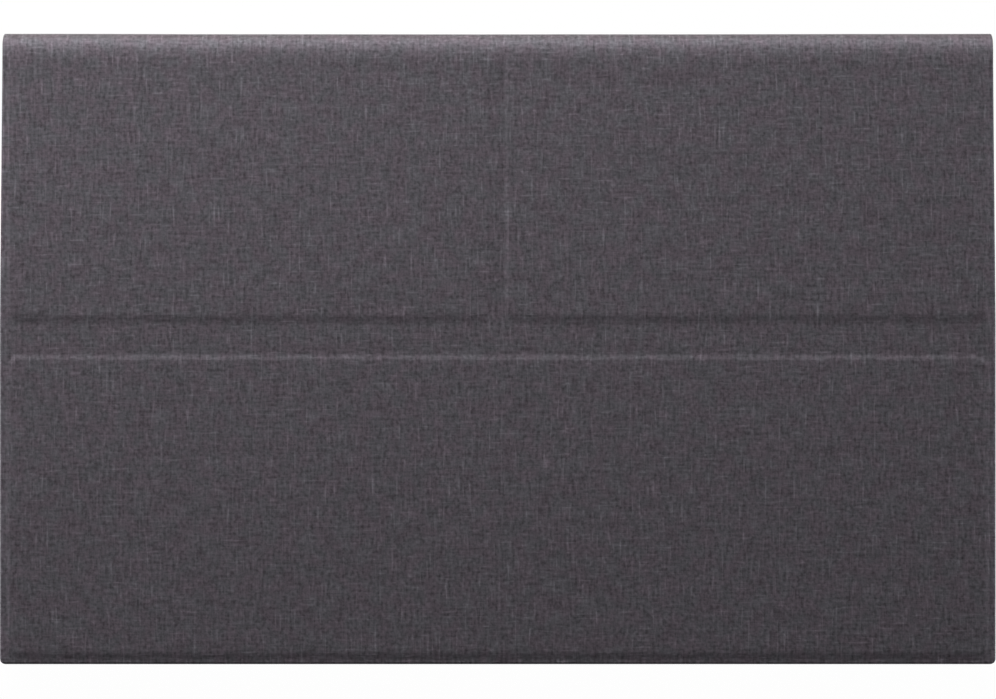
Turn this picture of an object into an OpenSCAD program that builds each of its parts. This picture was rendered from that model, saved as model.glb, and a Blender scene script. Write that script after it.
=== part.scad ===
// Portable monitor in a folding fabric cover, closed and lying on its back.
// X runs along the width, Y from the free edge (-Y) to the spine (+Y), Z up from the table.
// The origin is the middle of the closed case, on the table.

/* [Cover] */
// Width of the closed cover, from side to side
cover_w = 356; // [345:0.5:366]
// Depth of the closed cover, from the free edge to the outside of the spine
cover_h = 225; // [216:0.5:234]
// Thickness of the outer fabric over a board
fabric_t = 0.5; // [0.4:0.05:0.6]
// Thickness of the stiff boards
board_t = 1.3; // [1.1:0.05:1.5]
// Thickness of the lining
lining_t = 0.4; // [0.3:0.05:0.5]
// How far the fabric lies lower in the creases and rims than on the boards
crease_drop = 0.6; // [0.4:0.05:0.8]
// Rim of fabric outside the boards, at the left and right
side_rim = 3; // [2:0.25:4]
// Rim of fabric outside the board, at the free edge
free_rim = 4.4; // [3:0.2:5]
// Gap between the boards and the start of the spine's roll
roll_rim = 1; // [0.8:0.1:2]
// Depth of the lower panel, from the free edge to the fold crease
lower_h = 109.7; // [104:0.1:114]
// Width of the fold crease between the lower and the upper panels
fold_w = 14.1; // [12:0.1:16]
// Width of the upright crease between the two upper panels
split_w = 6; // [4:0.25:8]
// Corner radius of the boards
board_r = 5; // [3:0.5:6]
// Corner radius of the cover's free corners
corner_r = 2; // [1:0.25:3]
// Turned-in rim of fabric around the lining
turn_in = 2; // [1.5:0.1:2.5]
// Depth of the back panel that holds the monitor
back_h = 90; // [80:1:96]
// Thickness of the stiffener in the spine
spine_core_t = 0.7; // [0.5:0.05:0.8]
// Arc of the spine that stays stiff, in degrees
spine_arc = 60; // [50:1:70]
// Gap between the glass and the cover's lining
cover_gap = 0.3; // [0.2:0.05:0.4]

/* [Magnets] */
// Length of a magnet in the back panel
hold_magnet_l = 30; // [20:1:40]
// Width of a magnet in the back panel
hold_magnet_w = 8; // [6:0.5:10]
// Distance from the back board's side to the middle of the outermost magnet
hold_in = 45; // [40:1:50]
// Length of a magnet at the free edge
close_magnet_l = 20; // [12:1:24]
// Width of a magnet at the free edge
close_magnet_w = 5; // [4:0.25:6]
// Distance from the lower board's side to the middle of the outermost magnet
close_in = 65; // [55:1:75]
// Thickness of the steel that the magnets hold
steel_t = 0.4; // [0.3:0.05:0.5]

/* [Housing] */
// Thickness of the monitor, from the rear cover to the glass
body_t = 10.3; // [10:0.1:11]
// Overhang of the cover past the monitor, at each side
side_in = 1.4; // [1:0.1:2]
// Overhang of the cover past the monitor, at the free edge
free_in = 1.2; // [0.8:0.1:2]
// Gap between the monitor's edge and the inside of the spine
roll_gap = 2.5; // [2.3:0.1:3]
// Corner radius of the housing
body_r = 4.5; // [4:0.25:6]
// Wall of the rear cover
wall_t = 1.4; // [1.2:0.05:1.6]
// Rounding of the rear cover's lower edge
rear_round = 2; // [1.6:0.1:2.2]
// Height of the front frame
frame_t = 2.5; // [2.4:0.05:2.8]
// Chamfer of the front frame's upper edge
frame_chamfer = 1.4; // [1:0.1:1.5]
// Rim of the front frame outside the glass
glass_in = 1.8; // [1.6:0.05:2.2]
// Depth of the rubber feet's seats in the rear cover
foot_seat = 0.4; // [0.3:0.05:0.5]
// Length of a rubber foot
foot_l = 50; // [40:1:56]
// Width of a rubber foot
foot_w = 7; // [5:0.5:8]
// Distance from the monitor's side to the middle of a rubber foot
foot_in = 56.6; // [50:0.1:60]

/* [Display] */
// Thickness of the cover glass
glass_t = 0.7; // [0.6:0.05:0.8]
// Black border beside the picture, from the monitor's side
bezel_side = 4.5; // [4.4:0.1:6]
// Black border at the free edge
bezel_far = 7; // [6.8:0.1:9]
// Black border at the spine, where the electronics are
bezel_chin = 19.1; // [18:0.1:22]
// Thickness of the liquid crystal cell
cell_t = 1; // [0.9:0.05:1.1]
// Thickness of the diffuser films
film_t = 0.5; // [0.4:0.05:0.6]
// Thickness of the light guide
guide_t = 0.6; // [0.5:0.05:0.7]
// Thickness of the reflector sheet
reflector_t = 0.2; // [0.15:0.05:0.25]
// Thickness of the metal back plate
plate_t = 0.5; // [0.4:0.05:0.5]
// Width of the LED bar
led_w = 2; // [1.6:0.1:2.2]

/* [Electronics] */
// Thickness of the circuit boards
pcb_t = 1; // [0.8:0.05:1.1]
// Height of the spacers under the circuit boards
spacer_h = 0.8; // [0.6:0.05:0.9]
// Width of the main board
main_w = 112; // [100:1:120]
// Depth of the main board
main_d = 60; // [60:0.5:62]
// Gap from the spine's roll to the boards
main_back = 15; // [13:0.5:18]
// Width of the board at the right side
side_w = 12; // [11:0.5:13]
// Height of the USB-C sockets
usb_h = 3.2; // [3:0.05:3.3]
// Width of the USB-C sockets
usb_w = 8.9; // [8.6:0.1:9.2]
// Length of the USB-C sockets
usb_l = 7.3; // [7:0.1:8]
// Distance between the USB-C sockets
usb_pitch = 16; // [14:0.5:18]
// Width of the mini-HDMI socket
hdmi_w = 11.2; // [11:0.1:11.6]
// Radius of the headphone jack's bore
jack_r = 1.8; // [1.75:0.01:1.85]
// Length of the headphone jack
jack_l = 14; // [12:0.5:15]
// Length of a speaker
speaker_l = 40; // [34:1:44]
// Width of a speaker
speaker_w = 14; // [13:0.5:15]
// Height of a speaker
speaker_h = 4.5; // [4:0.1:4.8]
// Distance from the monitor's side to the middle of a speaker
speaker_in = 31.6; // [28:0.1:36]
// Distance between neighbouring slots of a speaker's grille
slot_pitch = 3.2; // [3:0.1:3.4]
// Number of slots in a speaker's grille
slot_count = 10; // [8:1:11]
// Length of a slot
slot_l = 10; // [8:0.5:12]
// Width of a slot
slot_w = 1.2; // [1:0.1:1.6]

/* [Controls] */
// Length of the power button
power_l = 8; // [7:0.25:9]
// Length of the menu rocker
rocker_l = 16; // [14:0.5:18]
// Height of the keys
key_h = 2.4; // [2:0.1:2.6]
// How far the keys stand out of the housing
key_out = 0.5; // [0.3:0.05:0.7]
// Gap around the keys in the housing
key_gap = 0.25; // [0.2:0.05:0.3]
// Radius of the rocker's pin
pin_r = 0.6; // [0.5:0.05:0.7]
// Running clearance around the rocker's pin
pin_gap = 0.05; // [0.03:0.01:0.08]
// Gap between a key and its switch
press_gap = 0.6; // [0.55:0.05:0.7]

/* [Hidden] */
$fn = 48;
cut = 0.1; // how far a cutting shape runs past the face that it opens

// Heights
leaf_t = fabric_t + board_t + lining_t;
total_t = 2 * leaf_t + body_t + cover_gap;
housing_z = leaf_t;
floor_z = housing_z + wall_t;
glass_z = housing_z + body_t;
frame_z = glass_z - frame_t;
ledge_z = glass_z - glass_t;
cell_z = ledge_z - cell_t;
film_z = cell_z - film_t;
guide_z = film_z - guide_t;
reflector_z = guide_z - reflector_t;
plate_z = reflector_z - plate_t;
pcb_z = floor_z + spacer_h;
top_z = pcb_z + pcb_t;
key_z = top_z + usb_h / 2;
flap_z = glass_z + cover_gap;

// The spine's roll, seen from the side
roll_out = total_t / 2;
spine_t = fabric_t + spine_core_t + lining_t;
roll_in = roll_out - spine_t;
roll_y = cover_h / 2 - roll_out;
free_y = -cover_h / 2;

// The monitor in plan
body_x = cover_w / 2 - side_in;
body_y0 = free_y + free_in;
body_y1 = roll_y + roll_in - roll_gap;
in_x = body_x - wall_t;
in_y0 = body_y0 + wall_t;
in_y1 = body_y1 - wall_t;
picture_x = body_x - bezel_side;
picture_y0 = body_y0 + bezel_far;
picture_y1 = body_y1 - bezel_chin;
cell_rim = 1;
cell_chin = 8;
cell_x = picture_x + cell_rim;
cell_y0 = picture_y0 - cell_rim;
cell_y1 = picture_y1 + cell_chin;
cell_gap = 0.1;
tray_wall = 0.4;
tray_gap = 0.1;

// The cover's panels
lower_y1 = free_y + lower_h;
upper_y0 = lower_y1 + fold_w;
upper_y1 = roll_y - roll_rim;
panel_x = cover_w / 2 - side_rim;
split_x = split_w / 2;
back_y0 = roll_y - back_h;
lower_pad = [-panel_x, panel_x, free_y + free_rim, lower_y1];
left_pad = [-panel_x, -split_x, upper_y0, upper_y1];
right_pad = [split_x, panel_x, upper_y0, upper_y1];
back_pad = [-panel_x, panel_x, back_y0 + free_rim, upper_y1];

// The electronics in plan
main_x0 = -in_x + 1.2;
main_x1 = main_x0 + main_w;
main_y1 = roll_y - main_back;
main_y0 = main_y1 - main_d;
side_x1 = in_x - 3.7;
side_x0 = side_x1 - side_w;
port_in = 0.4;
usb_y = [main_y1 - 16, main_y1 - 16 - usb_pitch];
hdmi_y = main_y1 - 50;
jack_y = main_y1 - 12;
jack_h = 4.8;
jack_wide = 6;
jack_z = pcb_z + 2;
power_y = main_y1 - 30;
rocker_y = main_y1 - 48;
light_y = main_y1 - 22;
light_r = 0.6;
key_flange = 1;
key_back = in_x - key_flange;
switch_l = 3.2;
switch_x = key_back - press_gap - switch_l;
pin_x = key_back - 0.8;
socket_h = 1.2;
driver_d = 18;
driver_t = 0.8;
driver_y0 = main_y1 - 26;
driver_in = 76.6;
driver_x = body_x - driver_in;
driver_z = plate_z - driver_t;
cable_w = 12;
cable_t = 0.2;
main_socket_x = main_x1 - 10;
cable_run = 28;
driver_socket_x = main_socket_x + cable_run;
socket_l = 4;
side_cable_w = 8;
side_socket_w = side_cable_w + 2;
side_cable_y = main_y0 + 10;
side_cable_in = 5;
speaker_x = body_x - speaker_in;
speaker_y = body_y0 + 23.3;
lead_w = 1.6;
foot_x = body_x - foot_in;
foot_y = body_y0 + 11.3;

// Screws, bosses and posts
screw_r = 0.9;
screw_gap = 0.1;
head_r = 1.9;
head_t = 0.8;
boss_r = 2.2;
post_r = 1.9;
post_l = 3;
screw_in = 11.6;
screw_xs = [-1, -1 / 3, 1 / 3, 1] * (body_x - screw_in);
chin_y = (cell_y1 + in_y1) / 2;
far_y = in_y0 + post_r + 0.1;
board_hole_r = 0.8;
board_boss_r = 2;
board_inset = 4;
board_past_ports = 14;
prop_r = 2.5;
// Each prop is a share of the monitor's half width, and a distance from the boards' back edge
props = [[0, 160], [0, 90], [-0.51, 130], [0.51, 130], [0.62, 30], [-0.11, 35]];

// Outlines ------------------------------------------------------------------

// A rectangle from [x0, x1, y0, y1] with one radius at the -Y corners and one at the +Y corners
module outline(r, low, high) {
  translate([r[0], r[2] + low]) square([r[1] - r[0], r[3] - r[2] - low - high]);
  for (end = [[r[2] + low, low, -1], [r[3] - high, high, 1]]) {
    if (end[1] > 0) {
      translate([r[0] + end[1], end[0] + (end[2] < 0 ? -end[1] : 0)])
        square([r[1] - r[0] - 2 * end[1], end[1]]);
      for (x = [r[0] + end[1], r[1] - end[1]]) translate([x, end[0]]) circle(end[1]);
    }
  }
}

function grown(r, by) = [r[0] - by, r[1] + by, r[2] - by, r[3] + by];

module slab(r, z0, z1, low = 0, high = 0) {
  translate([0, 0, z0]) linear_extrude(z1 - z0) outline(r, low, high);
}

module block(x0, x1, y0, y1, z0, z1) {
  translate([x0, y0, z0]) cube([x1 - x0, y1 - y0, z1 - z0]);
}

// A flat bar with round ends
module pill(long, wide) {
  square([long - wide, wide], center = true);
  for (s = [-1, 1]) translate([s * (long - wide) / 2, 0]) circle(wide / 2);
}

// A round-ended bar along Y, seen from the side, from x0 to x1
module key_shape(x0, x1, y, z, long, tall) {
  translate([x0, y, z]) rotate([90, 0, 90]) linear_extrude(x1 - x0) pill(long, tall);
}

// Part of a ring around the spine's roll, from angle a0 to a1 above the level
module roll_part(r0, r1, a0, a1, width) {
  far = 2 * r1;
  translate([-width / 2, roll_y, roll_out]) rotate([90, 0, 90]) linear_extrude(width)
    intersection() {
      difference() {
        circle(r1, $fn = 96);
        circle(r0, $fn = 96);
      }
      polygon([[0, 0], [far * cos(a0), far * sin(a0)], [far * cos(a1), far * sin(a1)]]);
    }
}

// Housing -------------------------------------------------------------------

body_plan = [-body_x, body_x, body_y0, body_y1];

module rear_shape() {
  mid = rear_round * 0.35;
  hull() {
    slab(grown(body_plan, -rear_round), housing_z, housing_z + cut, body_r, body_r, $fn = 32);
    slab(grown(body_plan, -mid), housing_z + mid, housing_z + mid + cut, body_r, body_r, $fn = 32);
    slab(body_plan, housing_z + rear_round, frame_z, body_r, body_r, $fn = 32);
  }
}

module screw_places() {
  for (x = screw_xs, y = [far_y, chin_y]) translate([x, y, 0]) children();
}

module main_screw_places() {
  for (x = [main_x0 + board_past_ports, main_x1 - board_inset], y = [main_y0, main_y1])
    translate([x, y < (main_y0 + main_y1) / 2 ? y + board_inset : y - board_inset, 0]) children();
}

module side_screw_places() {
  for (y = [main_y0 + board_inset, main_y1 - board_inset])
    translate([side_x0 + board_inset - 1, y, 0]) children();
}

module speaker_slots(x) {
  first = x - slot_pitch * (slot_count - 1) / 2;
  for (i = [0 : slot_count - 1])
    translate([first + i * slot_pitch, speaker_y, housing_z - cut]) rotate(90)
      linear_extrude(wall_t + 2 * cut) pill(slot_l, slot_w);
}

module feet_plan() {
  for (s = [-1, 1]) translate([s * foot_x, foot_y]) pill(foot_l, foot_w);
}

module port_cuts() {
  deep = wall_t + 2 * cut;
  for (y = usb_y) key_shape(-body_x - cut, -body_x - cut + deep, y, key_z, usb_w + 0.5, usb_h + 0.5);
  translate([-body_x - cut, hdmi_y - hdmi_w / 2 - 0.3, top_z - 0.2])
    cube([deep, hdmi_w + 0.6, usb_h + 0.5]);
  translate([in_x - cut, jack_y, jack_z]) rotate([0, 90, 0]) cylinder(deep, r = jack_r + 1);
  translate([in_x - cut, light_y, key_z]) rotate([0, 90, 0]) cylinder(deep, r = light_r);
  key_shape(in_x - cut, in_x - cut + deep, power_y, key_z, power_l + 2 * key_gap, key_h + 2 * key_gap);
  key_shape(in_x - cut, in_x - cut + deep, rocker_y, key_z, rocker_l + 2 * key_gap, key_h + 2 * key_gap);
}

module rear_cover() {
  color([0.20, 0.20, 0.21]) difference() {
    union() {
      difference() {
        rear_shape();
        slab(grown(body_plan, -wall_t), floor_z, frame_z + cut, body_r - wall_t, body_r - wall_t);
      }
      screw_places() translate([0, 0, floor_z - cut]) cylinder(frame_z - post_l - floor_z + cut, r = boss_r);
      main_screw_places() translate([0, 0, floor_z - cut]) cylinder(spacer_h + cut, r = board_boss_r);
      side_screw_places() translate([0, 0, floor_z - cut]) cylinder(spacer_h + cut, r = board_boss_r);
      for (p = props) translate([p[0] * body_x, main_y1 - p[1], floor_z - cut]) cylinder(plate_z - floor_z + cut, r = prop_r);
      translate([pin_x, rocker_y, floor_z - cut]) cylinder(pcb_z - floor_z + 1 + cut, r = pin_r + 0.6);
    }
    screw_places() {
      translate([0, 0, housing_z - cut]) cylinder(frame_z - housing_z, r = screw_r + screw_gap);
      translate([0, 0, housing_z - cut]) cylinder(head_t + cut, r = head_r + screw_gap);
    }
    main_screw_places() translate([0, 0, floor_z - head_t]) cylinder(spacer_h + 2, r = board_hole_r);
    side_screw_places() translate([0, 0, floor_z - head_t]) cylinder(spacer_h + 2, r = board_hole_r);
    translate([pin_x, rocker_y, floor_z]) cylinder(3, r = pin_r);
    for (s = [-1, 1]) speaker_slots(s * speaker_x);
    translate([0, 0, housing_z - cut]) linear_extrude(foot_seat + cut) feet_plan();
    port_cuts();
  }
}

module front_frame() {
  cell_room = [-cell_x - cell_gap, cell_x + cell_gap, cell_y0 - cell_gap, cell_y1 + cell_gap];
  color([0.22, 0.22, 0.23]) difference() {
    union() {
      hull() {
        slab(body_plan, frame_z, glass_z - frame_chamfer, body_r, body_r, $fn = 32);
        slab(grown(body_plan, -frame_chamfer), frame_z, glass_z, body_r - 1, body_r - 1, $fn = 32);
      }
      screw_places() translate([0, 0, frame_z - post_l]) cylinder(post_l + cut, r = post_r);
    }
    slab(cell_room, frame_z - cut, glass_z + cut);
    slab(grown(body_plan, -glass_in), ledge_z, glass_z + cut, body_r - glass_in, body_r - glass_in);
    screw_places() translate([0, 0, frame_z - post_l - cut]) cylinder(post_l + cut + 0.6, r = screw_r);
  }
}

module front_glass() {
  color([0.03, 0.03, 0.035]) slab(grown(body_plan, -glass_in - cell_gap), ledge_z, glass_z,
    body_r - glass_in, body_r - glass_in);
}

// Display -------------------------------------------------------------------

cell_plan = [-cell_x, cell_x, cell_y0, cell_y1];
tray_plan = grown(cell_plan, -tray_wall - tray_gap);
led_y1 = tray_plan[3];
led_y0 = led_y1 - led_w;
guide_plan = [tray_plan[0], tray_plan[1], tray_plan[2], led_y0];

module lcd_cell() {
  color([0.05, 0.05, 0.08]) slab(cell_plan, cell_z, ledge_z);
}

module diffuser_films() {
  color([0.93, 0.94, 0.95]) slab(tray_plan, film_z, cell_z);
}

module light_guide() {
  color([0.85, 0.92, 0.95]) slab(guide_plan, guide_z, film_z);
}

module reflector_sheet() {
  color([0.97, 0.97, 0.97]) slab(tray_plan, reflector_z, guide_z);
}

module led_bar() {
  color([0.95, 0.90, 0.55]) slab([tray_plan[0], tray_plan[1], led_y0, led_y1], guide_z, film_z);
}

module panel_back_plate() {
  color([0.72, 0.73, 0.74]) difference() {
    slab(cell_plan, plate_z, cell_z);
    slab(grown(cell_plan, -tray_wall), reflector_z, cell_z + cut);
  }
}

module driver_board() {
  color([0.05, 0.30, 0.16])
    block(-driver_x, driver_x, driver_y0, driver_y0 + driver_d, driver_z, plate_z);
}

// Electronics ---------------------------------------------------------------

module main_board() {
  color([0.05, 0.28, 0.15]) difference() {
    block(main_x0, main_x1, main_y0, main_y1, pcb_z, top_z);
    main_screw_places() translate([0, 0, pcb_z - cut]) cylinder(pcb_t + 2 * cut, r = board_hole_r);
  }
}

// Each chip is [x and y from the board's corner, width, depth, height]
chips = [
  [52, 22, 17, 17, 1.2], [30, 30, 9, 9, 0.9], [30, 46, 6, 5, 0.9], [76, 18, 8, 5, 1.0],
  [80, 34, 5, 6, 1.0], [22, 8, 7, 7, 1.2], [40, 8, 6, 6, 1.1], [60, 48, 11, 4, 0.8]
];

module main_chips() {
  color([0.10, 0.10, 0.11]) for (c = chips)
    block(main_x0 + c[0], main_x0 + c[0] + c[2], main_y0 + c[1], main_y0 + c[1] + c[3],
      top_z, top_z + c[4]);
}

module heat_spreader() {
  c = chips[0];
  color([0.78, 0.78, 0.80]) block(main_x0 + c[0] - 3, main_x0 + c[0] + c[2] + 3,
    main_y0 + c[1] - 3, main_y0 + c[1] + c[3] + 3, top_z + c[4], top_z + c[4] + 0.5);
}

cable_y = driver_y0 + driver_d / 2;

module board_sockets() {
  wide = cable_w + 3;
  color([0.88, 0.86, 0.78]) {
    block(main_socket_x - socket_l, main_socket_x, cable_y - wide / 2, cable_y + wide / 2,
      top_z, top_z + socket_h);
    block(driver_socket_x, driver_socket_x + socket_l, cable_y - wide / 2, cable_y + wide / 2,
      driver_z - socket_h, driver_z);
    for (x = [main_x1 - side_cable_in - socket_l, side_x0 + side_cable_in])
      block(x, x + socket_l, side_cable_y - side_socket_w / 2, side_cable_y + side_socket_w / 2,
        top_z, top_z + socket_h);
  }
}

module panel_cable() {
  z0 = top_z + socket_h / 2;
  z1 = driver_z - socket_h / 2;
  x0 = main_socket_x;
  x1 = driver_socket_x;
  straight = cable_run / 3.5;
  line = [[x0, z0], [x0 + straight, z0], [x1 - straight, z1], [x1, z1]];
  back = [for (i = [3 : -1 : 0]) [line[i][0], line[i][1] + cable_t]];
  color([0.85, 0.72, 0.45]) translate([0, cable_y + cable_w / 2, 0]) rotate([90, 0, 0])
    linear_extrude(cable_w) polygon(concat(line, back));
}

module usb_c_sockets() {
  x0 = -body_x + port_in;
  color([0.75, 0.76, 0.78]) for (y = usb_y) difference() {
    key_shape(x0, x0 + usb_l, y, key_z, usb_w, usb_h);
    difference() {
      key_shape(x0 - cut, x0 + usb_l - 1, y, key_z, usb_w - 0.6, usb_h - 0.6);
      key_shape(x0 + 1, x0 + usb_l, y, key_z, 6.7, 0.7);
    }
  }
}

module mini_hdmi_socket() {
  x0 = -body_x + port_in;
  low = 2.2;
  wall = 0.3;
  color([0.75, 0.76, 0.78]) translate([x0, hdmi_y, top_z]) rotate([90, 0, 90]) {
    linear_extrude(usb_l) difference() {
      hdmi_outline(0);
      hdmi_outline(wall);
    }
    linear_extrude(usb_l - 1) translate([-3.6, usb_h - 1.5]) square([7.2, 0.6]);
    translate([0, 0, usb_l - 1]) linear_extrude(1) hdmi_outline(0);
  }
}

module hdmi_outline(inset) {
  half = hdmi_w / 2 - inset;
  slope = 1.2;
  polygon([[-half + slope, inset], [half - slope, inset], [half, inset + slope],
    [half, usb_h - inset], [-half, usb_h - inset], [-half, inset + slope]]);
}

module headphone_jack() {
  x1 = body_x - port_in;
  color([0.08, 0.08, 0.09]) difference() {
    union() {
      block(x1 - jack_l, in_x - cut, jack_y - jack_wide / 2, jack_y + jack_wide / 2,
        jack_z - jack_h / 2, jack_z + jack_h / 2);
      translate([x1 - 3, jack_y, jack_z]) rotate([0, 90, 0]) cylinder(3, r = jack_r + 0.8);
    }
    translate([x1 - jack_l + 0.8, jack_y, jack_z]) rotate([0, 90, 0]) cylinder(jack_l, r = jack_r);
  }
}

module side_board() {
  color([0.05, 0.28, 0.15]) difference() {
    block(side_x0, side_x1, main_y0, main_y1, pcb_z, top_z);
    block(body_x - port_in - jack_l, side_x1 + cut, jack_y - jack_wide / 2, jack_y + jack_wide / 2,
      pcb_z - cut, top_z + cut);
    side_screw_places() translate([0, 0, pcb_z - cut]) cylinder(pcb_t + 2 * cut, r = board_hole_r);
  }
}

module side_cable() {
  color([0.90, 0.90, 0.88]) block(main_x1 - side_cable_in, side_x0 + side_cable_in,
    side_cable_y - side_cable_w / 2, side_cable_y + side_cable_w / 2, top_z, top_z + cable_t);
}

module tact_switches() {
  color([0.14, 0.14, 0.15]) for (y = [power_y, rocker_y - rocker_l / 2 + 2, rocker_y + rocker_l / 2 - 2])
    block(switch_x, switch_x + switch_l, y - 1.7, y + 1.7, top_z, top_z + usb_h);
}

module speaker(x) {
  color([0.09, 0.09, 0.10]) block(x - speaker_l / 2, x + speaker_l / 2,
    speaker_y - speaker_w / 2, speaker_y + speaker_w / 2, floor_z, floor_z + speaker_h);
}

module speaker_left() { speaker(-speaker_x); }

module speaker_right() { speaker(speaker_x); }

module speaker_leads() {
  y0 = speaker_y + speaker_w / 2;
  y1 = main_y0 + 3;
  turn_y = y0 + 24;
  near_x = -steel_half[1] - 8;
  color([0.75, 0.15, 0.12]) translate([0, 0, floor_z]) linear_extrude(spacer_h) {
    translate([-speaker_x, y0]) square([lead_w, y1 - y0]);
    translate([speaker_x, y0]) square([lead_w, turn_y - y0]);
    translate([near_x, turn_y]) square([speaker_x - near_x + lead_w, lead_w]);
    translate([near_x, turn_y]) square([lead_w, y1 - turn_y]);
  }
}

module status_light() {
  color([0.85, 0.95, 1.0]) translate([in_x - 1.5, light_y, key_z]) rotate([0, 90, 0])
    cylinder(wall_t + 1.5, r = light_r);
}

// Controls ------------------------------------------------------------------

module power_button() {
  color([0.16, 0.16, 0.17]) {
    key_shape(in_x - cut, body_x + key_out, power_y, key_z, power_l, key_h);
    key_shape(key_back, in_x, power_y, key_z, power_l + 2, key_h + 1);
  }
}

module menu_rocker() {
  color([0.16, 0.16, 0.17]) difference() {
    union() {
      key_shape(key_back + 0.4, body_x + key_out, rocker_y, key_z, rocker_l, key_h);
      translate([pin_x, rocker_y, key_z - key_h / 2]) cylinder(key_h, r = pin_r + 0.7);
      block(pin_x, key_back + 0.5, rocker_y - pin_r - 0.7, rocker_y + pin_r + 0.7,
        key_z - key_h / 2, key_z + key_h / 2);
    }
    translate([pin_x, rocker_y, key_z - key_h]) cylinder(2 * key_h, r = pin_r + pin_gap);
  }
}

module rocker_pin() {
  color([0.80, 0.80, 0.82]) translate([pin_x, rocker_y, floor_z])
    cylinder(key_z + key_h / 2 + 0.2 - floor_z, r = pin_r);
}

// Steel, feet and screws ----------------------------------------------------

hold_rows = [upper_y1 - 10, back_y0 + 10];
hold_count = 6;
hold_pitch = 2 * (panel_x - hold_in) / (hold_count - 1);
close_pitch = panel_x - close_in;
steel_half = [2.5, 1.5] * hold_pitch + [1, 1] * (hold_magnet_l / 2 + 5);

module steel_strips() {
  color([0.60, 0.61, 0.63]) for (i = [0, 1])
    block(-steel_half[i], steel_half[i], hold_rows[i] - 2.5, hold_rows[i] + 2.5,
      floor_z, floor_z + steel_t);
}

module keeper_plates() {
  color([0.60, 0.61, 0.63]) for (i = [-1 : 1])
    block(i * close_pitch - close_magnet_l / 2, i * close_pitch + close_magnet_l / 2,
      in_y0 + 0.2, in_y0 + 4, frame_z - steel_t, frame_z);
}

module rubber_feet() {
  color([0.06, 0.06, 0.06]) linear_extrude(housing_z + foot_seat) feet_plan();
}

module rear_screws() {
  color([0.35, 0.35, 0.37]) screw_places() {
    translate([0, 0, housing_z]) cylinder(head_t, r = head_r);
    translate([0, 0, housing_z]) cylinder(frame_z - housing_z, r = screw_r);
  }
}

module board_screws() {
  color([0.82, 0.82, 0.84]) {
    main_screw_places() board_screw();
    side_screw_places() board_screw();
  }
}

module board_screw() {
  translate([0, 0, floor_z - 0.6]) cylinder(top_z - floor_z + 0.6, r = board_hole_r);
  translate([0, 0, top_z]) cylinder(0.8, r = 1.5);
}

// Cover ---------------------------------------------------------------------

// The fabric of one leaf, with its lining side at z = 0 and its outside at z = leaf_t
module leaf_fabric(area, low, pads, lining) {
  difference() {
    union() {
      slab(area, 0, leaf_t - crease_drop, low, 0);
      for (p = pads) slab(grown(p, fabric_t), 0, leaf_t, board_r + fabric_t, board_r + fabric_t);
    }
    for (p = pads) slab(p, lining_t, lining_t + board_t, board_r, board_r);
    slab(lining, -cut, lining_t, low > turn_in ? low - turn_in : 0, 0);
  }
}

half_w = cover_w / 2;
back_area = [-half_w, half_w, back_y0, roll_y];
upper_area = [-half_w, half_w, upper_y0 - fabric_t, roll_y];
lower_area = [-half_w, half_w, free_y, lower_y1 + fabric_t];
fold_area = [-half_w, half_w, lower_area[3], upper_area[2]];

function lining_of(area) = [area[0] + turn_in, area[1] - turn_in, area[2], area[3]];
function free_lining_of(area) = [area[0] + turn_in, area[1] - turn_in, area[2] + turn_in, area[3]];

fabric_color = [0.30, 0.29, 0.31];
lining_color = [0.17, 0.17, 0.18];
board_color = [0.42, 0.38, 0.33];

module at_flap() { translate([0, 0, flap_z]) children(); }

module at_back() { mirror([0, 0, 1]) translate([0, 0, -leaf_t]) children(); }

module board(pad, magnets = []) {
  color(board_color) difference() {
    slab(pad, lining_t, lining_t + board_t, board_r, board_r);
    magnet_blocks(magnets, cut);
  }
}

module magnet_blocks(places, more = 0) {
  for (m = places) block(m[0] - m[2] / 2, m[0] + m[2] / 2, m[1] - m[3] / 2, m[1] + m[3] / 2,
    lining_t - more, lining_t + board_t + more);
}

hold_magnets = [for (y = hold_rows, i = [0 : hold_count - 1])
  [(i - (hold_count - 1) / 2) * hold_pitch, y, hold_magnet_l, hold_magnet_w]];
close_magnets = [for (i = [-1 : 1])
  [i * close_pitch, free_y + free_rim + close_magnet_w / 2 + 1, close_magnet_l, close_magnet_w]];

module back_fabric() {
  color(fabric_color) at_back() leaf_fabric(back_area, corner_r, [back_pad], free_lining_of(back_area));
}

module back_board() { at_back() board(back_pad, hold_magnets); }

module back_lining() {
  color(lining_color) at_back() slab(free_lining_of(back_area), 0, lining_t);
}

module back_magnets() {
  color([0.75, 0.76, 0.78]) at_back() magnet_blocks(hold_magnets);
}

module back_crease() { color(fabric_color) roll_part(roll_in, roll_out, -90, -spine_arc / 2, cover_w); }

module spine_fabric() {
  color(fabric_color) difference() {
    roll_part(roll_in, roll_out, -spine_arc / 2, spine_arc / 2, cover_w);
    roll_part(roll_out - fabric_t - spine_core_t, roll_out - fabric_t,
      -spine_arc / 2 + 4, spine_arc / 2 - 4, cover_w - 2 * side_rim);
    roll_part(roll_in - 1, roll_out - fabric_t - spine_core_t,
      -spine_arc / 2 - 4, spine_arc / 2 + 4, cover_w - 2 * turn_in);
  }
}

module spine_core() {
  color(board_color) roll_part(roll_out - fabric_t - spine_core_t, roll_out - fabric_t,
    -spine_arc / 2 + 4, spine_arc / 2 - 4, cover_w - 2 * side_rim);
}

module spine_lining() {
  color(lining_color) roll_part(roll_in, roll_in + lining_t, -spine_arc / 2, spine_arc / 2,
    cover_w - 2 * turn_in);
}

module front_crease() { color(fabric_color) roll_part(roll_in, roll_out, spine_arc / 2, 90, cover_w); }

module upper_fabric() {
  color(fabric_color) at_flap() leaf_fabric(upper_area, 0, [left_pad, right_pad], lining_of(upper_area));
}

module upper_left_board() { at_flap() board(left_pad); }

module upper_right_board() { at_flap() board(right_pad); }

module upper_lining() { color(lining_color) at_flap() slab(lining_of(upper_area), 0, lining_t); }

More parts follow.
